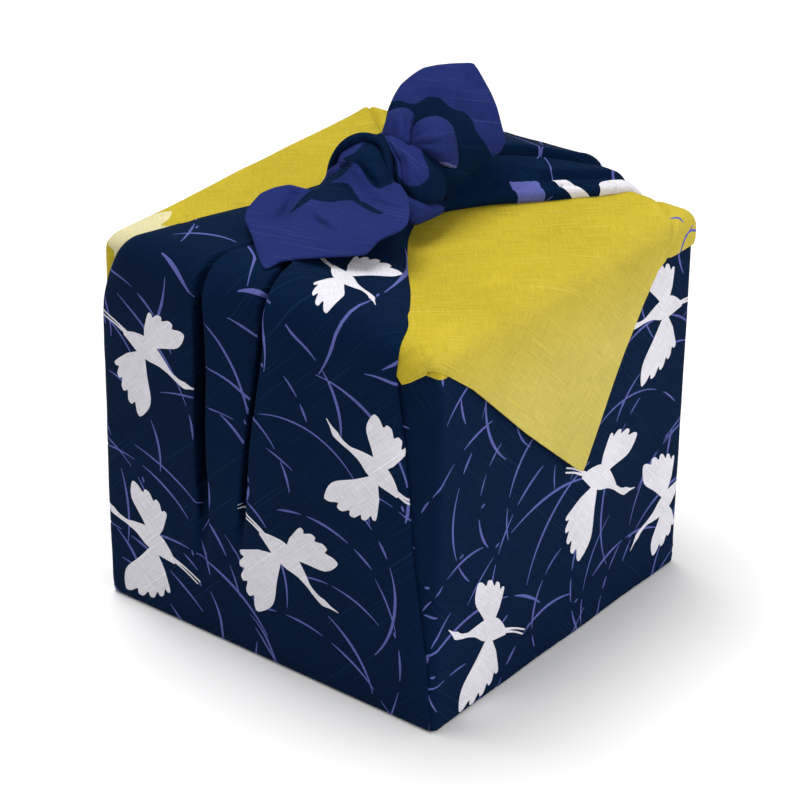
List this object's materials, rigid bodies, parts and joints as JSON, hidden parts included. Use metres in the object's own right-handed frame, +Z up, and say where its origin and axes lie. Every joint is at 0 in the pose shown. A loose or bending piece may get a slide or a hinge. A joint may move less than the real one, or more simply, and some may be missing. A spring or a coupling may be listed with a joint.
{
  "type": "furoshiki wrap",
  "caption": "Square cotton cloth wrapped round a cube and tied on top in a square knot, with pleated front and back panels and a corner hanging down one side.",
  "frame": {"origin": "middle of the flat base that the wrapped cube stands on", "axes": "+Z up to the knot; -Y is the front, with the pleated panel; +X is the side that the flap's corner hangs down"},
  "size_m": [0.1707, 0.1801, 0.2172],
  "materials": {
    "cloth": "matt slubbed cotton, printed on one side"
  },
  "bodies": {
    "root": {"furoshiki_cloth": "cloth"}
  },
  "joints": []
}
